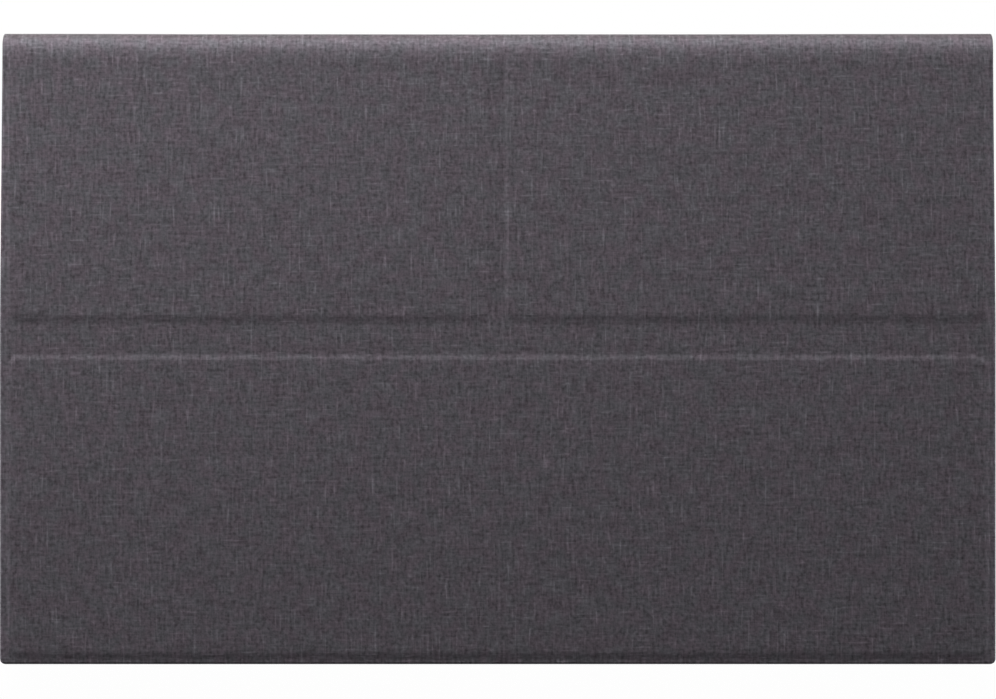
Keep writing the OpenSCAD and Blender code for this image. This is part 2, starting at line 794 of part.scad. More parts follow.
module fold_crease() {
  color(fabric_color) at_flap() slab(fold_area, 0, leaf_t - crease_drop);
}

module lower_fabric() {
  color(fabric_color) at_flap()
    leaf_fabric(lower_area, corner_r, [lower_pad], free_lining_of(lower_area));
}

module lower_board() { at_flap() board(lower_pad, close_magnets); }

module lower_lining() { color(lining_color) at_flap() slab(free_lining_of(lower_area), 0, lining_t); }

module closing_magnets() { color([0.75, 0.76, 0.78]) at_flap() magnet_blocks(close_magnets); }

// Nodes ---------------------------------------------------------------------

rear_cover();
front_frame();
front_glass();
lcd_cell();
diffuser_films();
light_guide();
reflector_sheet();
led_bar();
panel_back_plate();
driver_board();
main_board();
main_chips();
heat_spreader();
board_sockets();
usb_c_sockets();
mini_hdmi_socket();
headphone_jack();
panel_cable();
side_board();
side_cable();
tact_switches();
speaker_left();
speaker_right();
speaker_leads();
status_light();
power_button();
menu_rocker();
rocker_pin();
steel_strips();
keeper_plates();
rubber_feet();
rear_screws();
board_screws();
back_fabric();
back_board();
back_lining();
back_magnets();
back_crease();
spine_fabric();
spine_core();
spine_lining();
front_crease();
upper_fabric();
upper_left_board();
upper_right_board();
upper_lining();
fold_crease();
lower_fabric();
lower_board();
lower_lining();
closing_magnets();
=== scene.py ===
"""Portable monitor in a folding fabric cover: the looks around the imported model, laid out as an add-on."""
import math

import bpy
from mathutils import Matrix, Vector


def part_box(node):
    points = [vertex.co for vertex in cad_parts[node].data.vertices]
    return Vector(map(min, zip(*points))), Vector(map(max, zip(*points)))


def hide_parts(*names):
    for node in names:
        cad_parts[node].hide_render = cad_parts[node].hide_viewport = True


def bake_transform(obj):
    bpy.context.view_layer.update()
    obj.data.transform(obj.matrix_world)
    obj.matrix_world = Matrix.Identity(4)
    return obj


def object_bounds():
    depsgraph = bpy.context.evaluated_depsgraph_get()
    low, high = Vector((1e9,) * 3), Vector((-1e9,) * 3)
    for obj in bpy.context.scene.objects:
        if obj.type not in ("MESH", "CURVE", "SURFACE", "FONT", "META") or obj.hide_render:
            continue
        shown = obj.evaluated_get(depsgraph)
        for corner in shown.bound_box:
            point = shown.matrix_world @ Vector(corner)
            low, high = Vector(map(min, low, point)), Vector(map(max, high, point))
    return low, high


bl_info = {
    "name": "Portable monitor with cover",
    "version": (1, 0, 0),
    "blender": (4, 5, 0),
    "location": "View3D > Sidebar > Monitor",
    "description": "Dresses the closed portable monitor and its fabric cover",
    "category": "Object",
}

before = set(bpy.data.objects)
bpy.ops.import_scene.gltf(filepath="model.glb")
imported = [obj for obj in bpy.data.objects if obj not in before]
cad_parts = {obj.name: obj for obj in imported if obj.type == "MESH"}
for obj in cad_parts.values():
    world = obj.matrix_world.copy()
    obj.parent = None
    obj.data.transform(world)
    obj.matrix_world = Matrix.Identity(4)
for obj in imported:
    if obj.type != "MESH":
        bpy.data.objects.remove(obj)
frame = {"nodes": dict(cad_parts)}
cad_low, cad_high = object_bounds()
MM = 0.001


def linear(hex_colour):
    """An sRGB hex colour as the linear RGBA that Blender's sockets take."""
    channels = [int(hex_colour[i : i + 2], 16) / 255 for i in (1, 3, 5)]
    return [c / 12.92 if c <= 0.04045 else ((c + 0.055) / 1.055) ** 2.4 for c in channels] + [1.0]


def smooth(t):
    """Goes from 0 to 1 with level ends."""
    t = min(1.0, max(0.0, t))
    return t * t * (3 - 2 * t)


# Settings ---------------------------------------------------------------------


class CoverSettings(bpy.types.PropertyGroup):
    """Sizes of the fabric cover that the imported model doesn't give."""

    edge_radius: bpy.props.FloatProperty(
        name="Outer edge radius", description="Radius of the cloth where it turns over the rim",
        default=0.75 * MM, unit="LENGTH")
    inner_radius: bpy.props.FloatProperty(
        name="Inner edge radius", description="Radius of the cloth where it turns in to the lining",
        default=0.45 * MM, unit="LENGTH")
    sink: bpy.props.FloatProperty(
        name="Sink", description="How far the cloth lies lower in creases and rims than on a board",
        default=0.3 * MM, unit="LENGTH")
    trim: bpy.props.FloatProperty(
        name="Trim", description="How far the pressed rims lie inside the model's sides",
        default=0.13 * MM, unit="LENGTH")
    rim_fall: bpy.props.FloatProperty(
        name="Rim fall", description="How far a side rim falls from the slope to its edge",
        default=0.2 * MM, unit="LENGTH")
    shoulder: bpy.props.FloatProperty(
        name="Shoulder", description="How far the cloth lies lower where the roll begins",
        default=0.15 * MM, unit="LENGTH")
    waist: bpy.props.FloatProperty(
        name="Waist", description="How much narrower the cover is at the spine, at each side",
        default=0.9 * MM, unit="LENGTH")
    reach: bpy.props.FloatProperty(
        name="Reach", description="How far the spine's middle lies beyond the model's",
        default=0.24 * MM, unit="LENGTH")
    bow: bpy.props.FloatProperty(
        name="Bow", description="How far the spine's ends lie beyond its middle",
        default=0.2 * MM, unit="LENGTH")
    squareness: bpy.props.FloatProperty(
        name="Squareness", description="Power of the spine's outline: 2 is round, more is squarer",
        default=2.25, min=2.0, max=4.0)
    cloth_t: bpy.props.FloatProperty(
        name="Cloth", description="Thickness of the outer cloth", default=0.4 * MM, unit="LENGTH")
    lining_t: bpy.props.FloatProperty(
        name="Lining", description="Thickness of the lining", default=0.3 * MM, unit="LENGTH")


class FinishSettings(bpy.types.PropertyGroup):
    """Colours of the finishes, as they look under plain light."""

    cloth: bpy.props.StringProperty(
        name="Cloth", description="Middle tone of the cover's cloth", default="#504C52")
    lining: bpy.props.StringProperty(
        name="Lining", description="Short-napped lining", default="#2B2B2E")
    housing: bpy.props.StringProperty(
        name="Housing", description="Moulded rear cover", default="#343437")
    frame: bpy.props.StringProperty(
        name="Frame", description="Front frame around the glass", default="#2C2C2F")
    keys: bpy.props.StringProperty(
        name="Keys", description="Power button and menu rocker", default="#232325")
    floor: bpy.props.StringProperty(
        name="Floor", description="Plain floor", default="#FFFFFF")


# Materials --------------------------------------------------------------------

# Most of a noise's values lie between these.
NOISE_LOW, NOISE_HIGH = 0.3, 0.7


def add(tree, kind, inputs=None, **settings):
    """Adds one node: settings are its own properties, inputs its sockets' values or links."""
    made = tree.nodes.new(kind)
    for name, value in settings.items():
        setattr(made, name, value)
    for key, value in (inputs or {}).items():
        socket = made.inputs[key]
        if isinstance(value, bpy.types.NodeSocket):
            tree.links.new(value, socket)
        else:
            socket.default_value = value
    return made


def new_material(name):
    material = bpy.data.materials.new(name)
    material.use_nodes = True
    material.node_tree.nodes.clear()
    return material, material.node_tree


def finish_material(tree, shader):
    add(tree, "ShaderNodeOutputMaterial", {"Surface": shader.outputs[0]})


def principled(material, inputs):
    """Ends the material in a principled shader with these inputs."""
    tree = material.node_tree
    finish_material(tree, add(tree, "ShaderNodeBsdfPrincipled", inputs))
    return material


def maths(tree, operation, *values):
    return add(tree, "ShaderNodeMath", dict(enumerate(values)), operation=operation).outputs[0]


def ranged(tree, value, low, high, to_low=0.0, to_high=1.0, **settings):
    """The value, with its stretch from low to high carried over to the one from to_low to to_high."""
    sockets = dict(enumerate((value, low, high, to_low, to_high)))
    return add(tree, "ShaderNodeMapRange", sockets, **settings).outputs[0]


def around(tree, mark, middle, spread):
    """A value that follows a noise, from middle - spread to middle + spread."""
    return ranged(tree, mark, NOISE_LOW, NOISE_HIGH, middle - spread, middle + spread)


def mixed(tree, share, first, second, **settings):
    """Two colours mixed: the first where the share is 0, the second where it is 1."""
    sockets = {0: share, 6: first, 7: second}
    return add(tree, "ShaderNodeMix", sockets, data_type="RGBA", **settings).outputs[2]


def multiplied(tree, colour, factor, share=1.0):
    """A colour times another colour or a tone, by a share."""
    return mixed(tree, share, colour, factor, blend_type="MULTIPLY", clamp_result=False)


def noise(tree, where, scale, detail=2.0, roughness=0.5):
    return add(tree, "ShaderNodeTexNoise", {
        "Vector": where, "Scale": scale, "Detail": detail, "Roughness": roughness}).outputs[0]


def object_noise(tree, size):
    """Noise on the object's own coordinates, with marks of a real size."""
    return noise(tree, add(tree, "ShaderNodeTexCoord").outputs["Object"], 1 / size)


def bump(tree, height, strength, depth):
    sockets = {"Height": height, "Strength": strength, "Distance": depth}
    return add(tree, "ShaderNodeBump", sockets).outputs[0]


def varied(tree, colour, mark, spread):
    """A colour made lighter and darker by a share of it, as the noise goes."""
    return multiplied(tree, linear(colour), around(tree, mark, 1, spread))


def heathered_weave(name, middle):
    """Heathered polyester plain weave, matt: slubbed yarns of uneven tone cross, so short light and dark
    dashes run both ways, longer along the warp, over patches that lean to purple or to teal."""
    # Real yarns are about 0.3 mm apart, too fine to show, so they are drawn 1 mm apart.
    # Each kind of mark is its size across the width and along the length, its share and its seed.
    marks = (
        (0.98 * MM, 5.5 * MM, 0.66, 3.0),
        (6.5 * MM, 0.98 * MM, 0.44, 11.0),
        (1.2 * MM, 1.25 * MM, 0.98, 19.0),
        (2.6 * MM, 11.0 * MM, 0.22, 27.0),
        (12.0 * MM, 2.4 * MM, 0.18, 33.0),
    )
    # Slubs are the light dashes where a yarn is thick, along the warp and along the weft.
    slubs = ((0.85 * MM, 9 * MM, 0.36, 41.0), (7 * MM, 0.85 * MM, 0.26, 47.0))
    slub_begins, slub_full = 0.64, 0.84
    darkest, contrast = 0.1, 1.35
    # The patches' size across the width and along the length, and their seed
    mottle = (6.5 * MM, 7.0 * MM, 57.0)
    purple, teal = (1.026, 0.972, 0.996, 1), (0.970, 1.028, 1.010, 1)
    # Painted shade: the spine's outermost line is drawn a little darker and browner up to these distances,
    # where the roll turns away from the lamps.
    painted_shade_full, painted_shade_ends, painted_shade_tint = 4 * MM, 7.6 * MM, (0.66, 0.64, 0.61, 1)
    material, tree = new_material(name)
    uv = add(tree, "ShaderNodeUVMap", uv_map="cloth").outputs[0]

    def streaks(wide, long, seed, detail):
        scaled = add(tree, "ShaderNodeMapping", {
            "Vector": uv, "Scale": (1 / wide, 1 / long, 1), "Location": (seed, seed / 2, seed)})
        return noise(tree, scaled.outputs[0], 1.0, detail, 0.55)

    tone = 1.0
    for wide, long, share, seed in marks:
        off_middle = maths(tree, "SUBTRACT", streaks(wide, long, seed, 1.0), 0.5)
        tone = maths(tree, "MULTIPLY_ADD", off_middle, share, tone)
    for wide, long, share, seed in slubs:
        light = ranged(tree, streaks(wide, long, seed, 0.0), slub_begins, slub_full, 0.0, share)
        tone = maths(tree, "ADD", tone, light)
    tone = maths(tree, "POWER", maths(tree, "MAXIMUM", tone, darkest), contrast)
    hue = mixed(tree, ranged(tree, streaks(*mottle, 1.0), 0.38, 0.62), purple, teal)
    along = add(tree, "ShaderNodeSeparateXYZ", {0: uv}).outputs[1]
    away = maths(tree, "ABSOLUTE", maths(tree, "SUBTRACT", along, SPINE_S))
    # Painted shade: the cloth is darkened and browned near the spine's outermost line.
    painted_shade = ranged(tree, away, painted_shade_full, painted_shade_ends, 1.0, 0.0, interpolation_type="SMOOTHSTEP")
    hued_and_shaded = multiplied(tree, multiplied(tree, linear(middle), hue), painted_shade_tint, painted_shade)
    return principled(material, {
        "Base Color": multiplied(tree, hued_and_shaded, tone), "Roughness": 0.8, "Specular IOR Level": 0.15,
        "Normal": bump(tree, tone, 0.3, 0.12 * MM)})


def napped_lining(name, colour):
    """Microfibre suede: a short nap brushed one way, nearly black, with a faint pale bloom at the edges."""
    nap, blotch = 0.5 * MM, 22 * MM
    material, tree = new_material(name)
    uv = add(tree, "ShaderNodeUVMap", uv_map="cloth").outputs[0]
    stretched = add(tree, "ShaderNodeMapping", {"Vector": uv, "Scale": (1 / nap, 0.35 / nap, 1)})
    fine = noise(tree, stretched.outputs[0], 1.0, 3.0)
    both = maths(tree, "MULTIPLY_ADD", noise(tree, uv, 1 / blotch), 0.5, fine)
    tone = ranged(tree, both, 0.45, 1.05, 0.78, 1.25)
    return principled(material, {
        "Base Color": multiplied(tree, linear(colour), tone), "Roughness": 0.95,
        "Specular IOR Level": 0.1, "Sheen Weight": 0.04, "Sheen Roughness": 0.35,
        "Normal": bump(tree, fine, 0.25, 0.1 * MM)})


def moulded_plastic(name, colour, roughness, grain, depth):
    """Injection-moulded ABS with a spark-eroded texture: even, matt, with a fine grain."""
    material, tree = new_material(name)
    mark = object_noise(tree, grain)
    return principled(material, {
        "Base Color": varied(tree, colour, mark, 0.06), "IOR": 1.52,
        "Roughness": around(tree, object_noise(tree, 40 * MM), roughness, 0.04),
        "Normal": bump(tree, mark, 0.5, depth)})


def metal(name, colour, roughness, brush):
    """Plated or rolled sheet metal with a fine drawn grain along X."""
    material, tree = new_material(name)
    where = add(tree, "ShaderNodeTexCoord").outputs["Object"]
    drawn = add(tree, "ShaderNodeMapping", {"Vector": where, "Scale": (0.08 / brush, 1 / brush, 1 / brush)})
    mark = noise(tree, drawn.outputs[0], 1.0)
    return principled(material, {
        "Base Color": varied(tree, colour, mark, 0.05), "Metallic": 1.0,
        "Roughness": around(tree, mark, roughness, 0.07)})


def display_glass(name, picture):
    """Toughened cover glass, printed black behind its border. The picture area is the switched-off
    cell behind it: a touch greyer and less sharp, with a faint blue."""
    material, tree = new_material(name)
    where = add(tree, "ShaderNodeTexCoord").outputs["Object"]
    axes = add(tree, "ShaderNodeSeparateXYZ", {0: where})
    x0, x1, y0, y1 = picture
    inside_x = maths(tree, "COMPARE", axes.outputs[0], (x0 + x1) / 2, (x1 - x0) / 2)
    inside_y = maths(tree, "COMPARE", axes.outputs[1], (y0 + y1) / 2, (y1 - y0) / 2)
    inside = maths(tree, "MULTIPLY", inside_x, inside_y)
    smear = around(tree, object_noise(tree, 60 * MM), 0.07, 0.02)
    return principled(material, {
        "Base Color": mixed(tree, inside, linear("#070708"), linear("#15161A")),
        "Roughness": maths(tree, "MULTIPLY_ADD", inside, 0.12, smear), "IOR": 1.51})


def rubber(name, colour):
    """Die-cut silicone rubber: dull, soft-looking, with a fine tooth."""
    material, tree = new_material(name)
    mark = object_noise(tree, 0.5 * MM)
    return principled(material, {
        "Base Color": varied(tree, colour, mark, 0.1), "Roughness": 0.82, "IOR": 1.42,
        "Specular IOR Level": 0.35, "Normal": bump(tree, mark, 0.4, 0.04 * MM)})


def plain(name, colour, roughness, mark_size, spread=0.08, **sockets):
    """A hidden or very small part: one colour with slight marks of a real size."""
    material, tree = new_material(name)
    tone = varied(tree, colour, object_noise(tree, mark_size), spread)
    return principled(material, {"Base Color": tone, "Roughness": roughness, **sockets})


# Carried-over parts -----------------------------------------------------------


def picture_area():
    """The picture area on the glass, from the display's own cell: x0, x1, y0, y1."""
    low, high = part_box("lcd_cell")
    rim, chin = 1 * MM, 8 * MM
    return low.x + rim, high.x - rim, low.y + rim, high.y - chin


def part_finishes(finish):
    """Each finish of the monitor and the cover's inside, with the nodes that have it."""
    return (
        (moulded_plastic("spark_textured_abs_housing", finish.housing, 0.52, 0.45 * MM, 0.05 * MM),
         ("rear_cover",)),
        (moulded_plastic("satin_painted_abs_frame", finish.frame, 0.38, 0.35 * MM, 0.02 * MM),
         ("front_frame",)),
        (moulded_plastic("satin_moulded_abs_keys", finish.keys, 0.34, 0.3 * MM, 0.01 * MM),
         ("power_button", "menu_rocker")),
        (display_glass("black_printed_cover_glass", picture_area()), ("front_glass",)),
        (metal("bright_nickel_plated_shell", "#C9C6C2", 0.24, 0.3 * MM),
         ("usb_c_sockets", "mini_hdmi_socket")),
        (metal("black_zinc_plated_steel", "#2E2E31", 0.36, 0.2 * MM), ("rear_screws",)),
        (metal("rolled_tin_plated_steel", "#A8A9AB", 0.38, 0.4 * MM),
         ("steel_strips", "keeper_plates", "panel_back_plate", "board_screws", "rocker_pin")),
        (metal("anodised_aluminium_spreader", "#B9BABD", 0.42, 0.4 * MM), ("heat_spreader",)),
        (metal("nickel_plated_magnets", "#B4B2AE", 0.3, 0.5 * MM), ("back_magnets", "closing_magnets")),
        (rubber("die_cut_silicone_rubber", "#1B1B1D"), ("rubber_feet",)),
        (plain("black_nylon_jack", "#151517", 0.4, 0.6 * MM), ("headphone_jack",)),
        (plain("frosted_light_pipe", "#E4EAEE", 0.45, 1 * MM, 0.02, IOR=1.49), ("status_light",)),
        (plain("black_speaker_box", "#19191B", 0.5, 1 * MM), ("speaker_left", "speaker_right")),
        (plain("green_solder_mask", "#124A2B", 0.35, 3 * MM), ("main_board", "side_board", "driver_board")),
        (plain("black_chip_epoxy", "#1A1A1C", 0.55, 0.8 * MM), ("main_chips", "tact_switches")),
        (plain("cream_nylon_sockets", "#DAD3BE", 0.5, 1 * MM), ("board_sockets",)),
        (plain("amber_polyimide_ribbon", "#C79A45", 0.4, 2 * MM), ("panel_cable",)),
        (plain("white_ribbon_cable", "#E4E4E0", 0.45, 2 * MM), ("side_cable",)),
        (plain("red_wire_insulation", "#A82A22", 0.45, 1 * MM), ("speaker_leads",)),
        (plain("black_liquid_crystal_cell", "#0D0D10", 0.2, 5 * MM), ("lcd_cell",)),
        (plain("matt_white_optical_film", "#EDEEEF", 0.6, 5 * MM, 0.02),
         ("diffuser_films", "reflector_sheet", "light_guide")),
        (plain("yellow_phosphor_leds", "#E8D97F", 0.4, 2 * MM), ("led_bar",)),
        (plain("grey_millboard", "#6E675C", 0.85, 0.8 * MM, 0.12),
         ("back_board", "upper_left_board", "upper_right_board", "lower_board", "spine_core")),
    )


class MONITOR_OT_part_finishes(bpy.types.Operator):
    """Gives the monitor's own parts, and those inside the cover, their finishes"""

    bl_idname = "monitor.part_finishes"
    bl_label = "Part finishes"

    def execute(self, context):
        for material, nodes in part_finishes(context.scene.monitor_finish):
            for node in nodes:
                slots = frame["nodes"][node].material_slots
                if not slots:
                    raise RuntimeError(f"{node} has no material slot")
                for slot in slots:
                    slot.material = material
        return {"FINISHED"}


# Cover ------------------------------------------------------------------------

lower_box, upper_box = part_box("lower_fabric"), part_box("upper_fabric")
back_box, fold_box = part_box("back_fabric"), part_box("fold_crease")
left_board, right_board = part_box("upper_left_board"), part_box("upper_right_board")
lower_board, back_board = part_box("lower_board"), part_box("back_board")

TOTAL_Z = cad_high.z
ROLL_R = TOTAL_Z / 2
ROLL_Y = upper_box[1].y
FREE_Y = lower_box[0].y
HALF_W = lower_box[1].x
RIM_X = lower_board[1].x
LEAF_T = upper_box[1].z - upper_box[0].z
# How much thinner the cover is in its creases and on the roll, which hold no board
DROP = LEAF_T - (fold_box[1].z - fold_box[0].z)

# Lengths along the cover, s, run from the free edge over the flap, round the spine's roll and back below.
FLAP_L = ROLL_Y - FREE_Y
ROLL_L = math.pi * ROLL_R
ROLL_END = FLAP_L + ROLL_L
BACK_L = ROLL_Y - back_box[0].y
END_S = ROLL_END + BACK_L
SPINE_S = FLAP_L + ROLL_L / 2
# The lower and the upper piece part just inside the fold crease.
SPLIT_S = fold_box[1].y - 0.6 * MM - FREE_Y

BOARD_R = 4 * MM
CORNER_R = 2 * MM
TURN_IN = 2 * MM

# How wide the cloth's slope is at a board's edge, and how much of that lies outside the edge
SIDE_SLOPE = (1.9 * MM, 0.75 * MM)
CREASE_SLOPE = (4.3 * MM, 2.65 * MM)
SPINEWARD_SLOPE = (2.35 * MM, 1.1 * MM)
FREE_SLOPE = (3.7 * MM, 3.4 * MM)

# On the roll the cloth doesn't sink, and its rims' round is sharper by a share. How far away both end
SINK_REACH, SHARP_REACH, SHARPER = 9 * MM, 6 * MM, 0.6
# The length past the boards in which the leaf thins down
DROP_REACH = 2.6 * MM
# The dip at the shoulder: how far onto the roll it begins and ends, and the length each takes
DIP_BEGINS, DIP_ENDS = (-1.6 * MM, 3.2 * MM), (2 * MM, 5 * MM)
# The share of the waist that comes at the spine's outermost line
OUTERMOST_WAIST = 0.45

# Steps between lines of points: fine near the boards' edges, coarse elsewhere, and how near that is
CLOTH_STEPS = (0.42 * MM, 7 * MM, 2.2 * MM)
LINING_STEPS = (0.8 * MM, 9 * MM, 1.5 * MM)
ROLL_STEPS = 60

# Turns on the roll, in degrees up from level: where the front crease's bend starts, and the back crease
FRONT_TURN = 30
BACK_TURN = -40.5
# The back crease opens past a half turn, which a blend takes the short way round. So the cloth's bend is
# given only close to the crease's axis, and the lining's between two of its rows, 3 degrees apart.
CLOTH_BACK_BEND = (-60, -30)
LINING_BACK_BEND = (BACK_TURN - 1, BACK_TURN + 1)

# How far the lining lies over the turned-in cloth, how deep it is pressed in, and the share of the cloth's
# relief that it follows
LAP, PRESSED, FOLLOWS = 0.15 * MM, 0.05 * MM, 0.3
# At the back crease, with no board between them, the lining lies closer to the cloth.
BACK_CREASE_S = FLAP_L + ROLL_L * (90 - BACK_TURN) / 180
BONDED, BONDED_REACH = 1.15 * MM, 2 * MM


def pads():
    """The raised panels along the cover: x0, x1, s0, s1 and the slopes at the s0 and s1 edges."""
    flap = ((lower_board, FREE_SLOPE), (left_board, CREASE_SLOPE), (right_board, CREASE_SLOPE))
    made = [(low.x, high.x, low.y - FREE_Y, high.y - FREE_Y, slope, SPINEWARD_SLOPE)
            for (low, high), slope in flap]
    low, high = back_board
    turned = ROLL_END + ROLL_Y
    return made + [(low.x, high.x, turned - high.y, turned - low.y, SPINEWARD_SLOPE, FREE_SLOPE)]


PADS = pads()


def rise(x, s, pad):
    """How far the cloth has come up, 0 to 1, from the creases and rims to a panel with round corners."""
    x0, x1, s0, s1, low_slope, high_slope = pad
    dx = max(x0 - x, x - x1) + BOARD_R
    ds = max(s0 - s, s - s1) + BOARD_R
    width, lead = low_slope if s - s0 < s1 - s else high_slope
    if dx > 0 and ds > 0:
        share = dx * dx / (dx * dx + ds * ds)
        width += (SIDE_SLOPE[0] - width) * share
        lead += (SIDE_SLOPE[1] - lead) * share
        return smooth((BOARD_R - math.hypot(dx, ds) + lead) / width)
    if dx > ds:
        width, lead = SIDE_SLOPE
    return smooth((BOARD_R - max(dx, ds) + lead) / width)


def onto_roll(s):
    """How far s is onto the spine's roll from its nearer end; less than 0 on the level panels."""
    return min(s - FLAP_L, ROLL_END - s)


def roll_share(s, reach):
    """1 on the spine's roll, 0 further than reach from it on the level panels."""
    return 1 - smooth(-onto_roll(s) / reach)


def relief(x, s, cover):
    """Height of the cloth against the panels' faces: lower in creases, rims and where the roll begins."""
    low = 1 - max(rise(x, s, pad) for pad in PADS)
    sink = cover.sink + cover.rim_fall * max(0.0, (abs(x) - RIM_X) / (HALF_W - RIM_X))
    begun, ended = [smooth((onto_roll(s) - start) / length) for start, length in (DIP_BEGINS, DIP_ENDS)]
    return -sink * low * (1 - roll_share(s, SINK_REACH)) - cover.shoulder * begun * (1 - ended)


def ripple(x, s):
    """Faint unevenness of cloth glued over board, up to 0.04 mm: two long waves and a short one."""
    x, s = x / MM, s / MM
    across = math.sin(0.071 * x + 1.3 * math.sin(0.043 * s))
    along = math.sin(0.093 * s + 1.1 * math.sin(0.057 * x) + 2.0)
    short = math.sin(0.31 * x + 0.9 * math.sin(0.23 * s)) * math.sin(0.27 * s + 1.7)
    return (0.018 * (across + along) + 0.008 * short) * MM


def station(s):
    """Base point (y, z) and outward normal (y, z) of the cover's face at a length s from the free edge."""
    if s <= FLAP_L:
        return (FREE_Y + s, TOTAL_Z), (0.0, 1.0)
    if s >= ROLL_END:
        return (ROLL_Y - (s - ROLL_END), 0.0), (0.0, -1.0)
    turn = math.pi / 2 - (s - FLAP_L) / ROLL_R
    n = (math.cos(turn), math.sin(turn))
    return (ROLL_Y + ROLL_R * n[0], ROLL_R + ROLL_R * n[1]), n


def bulge(s, cover):
    """How far the spine's rather square outline lies outside its round one."""
    turn = (s - FLAP_L) / ROLL_R
    if not 0 < turn < math.pi:
        return 0.0
    power = cover.squareness
    square = abs(math.cos(turn)) ** power + abs(math.sin(turn)) ** power
    return ROLL_R * (square ** (-1 / power) - 1)


def leaf_depth(s):
    """Depth of the lining's face under the outer face: a leaf's up to the boards' end, less on the roll."""
    past_board = ROLL_Y - left_board[1].y + onto_roll(s)
    return LEAF_T - DROP * smooth(past_board / DROP_REACH)


def half_width(s, cover):
    """Half the cover's width; the upper half narrows towards the spine."""
    towards = min(1.0, max(0.0, (min(s, 2 * SPINE_S - s) - SPLIT_S) / (FLAP_L - SPLIT_S)))
    outermost = smooth(1 - abs(s - SPINE_S) / ROLL_R)
    return HALF_W - cover.trim - cover.waist * (towards + OUTERMOST_WAIST * outermost)


def place(x, s, offset):
    """A point at x, length s and height offset over the cover's face."""
    (y, z), (ny, nz) = station(s)
    return x, y + ny * offset, z + nz * offset


def spine_reach(x, s, cover):
    """How far along Y the cloth lies past the model's spine, which is a little hollow along its length."""
    return (cover.reach + cover.bow * (x / HALF_W) ** 2) * max(0.0, station(s)[1][0])


def rim_height(cover):
    return LEAF_T - cover.sink


def rim_lengths(cover):
    """Lengths along the rim's section: its first round, its upright side and its second round."""
    r1, r2 = cover.edge_radius, cover.inner_radius
    return r1 * math.pi / 2, rim_height(cover) - r1 - r2, r2 * math.pi / 2


def rim_profile(size, s, cover):
    """Where the cloth is at a length past the start of the rim's round: (out, down) in metres.
    The round is sharper at the ends of the spine's roll."""
    r1, r2 = cover.edge_radius, cover.inner_radius
    first, side, second = rim_lengths(cover)
    if size <= first:
        turn, power = size / r1, 1 - SHARPER * roll_share(s, SHARP_REACH)
        return r1 * math.sin(turn) ** power, r1 * (1 - max(0.0, math.cos(turn)) ** power)
    if size <= first + side:
        return r1, r1 + size - first
    if size <= first + side + second:
        turn = (size - first - side) / r2
        return r1 - r2 * (1 - math.cos(turn)), r1 + side + r2 * math.sin(turn)
    return r1 - r2 - (size - first - side - second), rim_height(cover)


def steps(start, length, count):
    """Even steps past start, the last of them at the full length."""
    return [start + length * k / count for k in range(1, count + 1)]


def rim_lines(cover):
    """Lengths past the level cloth at which a rim has a line of points."""
    flat = CORNER_R - cover.edge_radius
    first, side, second = rim_lengths(cover)
    upright = flat + first + side
    under = TURN_IN - cover.inner_radius
    return (steps(0, flat, 4) + steps(flat, first, 6) + [upright] + steps(upright, second, 5)
            + steps(upright + second, under, 3))


def graded(low, high, edges, fine, coarse, reach):
    """Positions from low to high, fine within reach of each edge and coarse elsewhere."""
    line, here = [low], low
    while here < high - 1e-7:
        near = min([abs(here + fine / 2 - e) for e in edges] or [coarse])
        step = fine + (coarse - fine) * smooth((near - reach) / (5 * reach))
        line.append(min(here + step, high))
        here = line[-1]
    if len(line) > 2 and line[-1] - line[-2] < fine / 2:
        line.pop(-2)
    return line


def wrapped_point(a, s, cover):
    """The cloth's outer face at width a and length s, both of which run on round the rims."""
    waist_half = half_width(s, cover)
    past_x = abs(a) - (HALF_W - CORNER_R)
    past_s = max(CORNER_R - s, s - (END_S - CORNER_R))
    past = max(past_x, past_s)
    x = a * waist_half / HALF_W if past_x <= 0 else math.copysign(waist_half - CORNER_R, a)
    on_s = s if past_s <= 0 else (CORNER_R if s < CORNER_R else END_S - CORNER_R)
    if past <= 0:
        x, y, z = place(x, on_s, relief(x, on_s, cover) + bulge(s, cover) + ripple(x, on_s))
        return x, y + spine_reach(x, on_s, cover), z
    over = past - (CORNER_R - cover.edge_radius)
    out, down = rim_profile(over, s, cover) if over > 0 else (over, 0.0)
    reach = CORNER_R - cover.edge_radius + out
    dx, ds = max(past_x, 0.0), max(past_s, 0.0)
    size = math.hypot(dx, ds)
    x += math.copysign(reach * dx / size, a)
    on_s += (-1 if s < CORNER_R else 1) * reach * ds / size
    top = relief(x, on_s, cover) + bulge(s, cover) + ripple(x, on_s)
    depth = down / rim_height(cover)
    x, y, z = place(x, on_s, top * (1 - depth) - leaf_depth(on_s) * depth)
    return x, y + spine_reach(x, on_s, cover) * (1 - depth), z


def grid_piece(name, columns, rows, point, thickness, material, flip):
    """A sheet from a grid of points, with a real thickness inwards and its width and length as its UV."""
    wide = len(columns)
    points = [point(a, s) for s in rows for a in columns]
    faces = []
    for j in range(len(rows) - 1):
        for i in range(wide - 1):
            corner = j * wide + i
            quad = (corner, corner + 1, corner + wide + 1, corner + wide)
            faces.append(quad[::-1] if flip else quad)
    mesh = bpy.data.meshes.new(name)
    mesh.from_pydata(points, [], faces)
    layer = mesh.uv_layers.new(name="cloth")
    for loop in mesh.loops:
        j, i = divmod(loop.vertex_index, wide)
        layer.data[loop.index].uv = (columns[i], rows[j])
    piece = bpy.data.objects.new(name, mesh)
    bpy.context.scene.collection.objects.link(piece)
    mesh.materials.append(material)
    bpy.ops.object.select_all(action="DESELECT")
    bpy.context.view_layer.objects.active = piece
    piece.select_set(True)
    solid = piece.modifiers.new("thickness", "SOLIDIFY")
    solid.thickness, solid.offset, solid.use_rim = thickness, -1, True
    bpy.ops.object.modifier_apply(modifier=solid.name)
    bpy.ops.object.shade_smooth_by_angle(angle=math.radians(50))
    return piece


def board_edges(across):
    """The panels' edges across the width or along the length of the cover."""
    first = 0 if across else 2
    return sorted({round(pad[first + k], 6) for pad in PADS for k in (0, 1)})


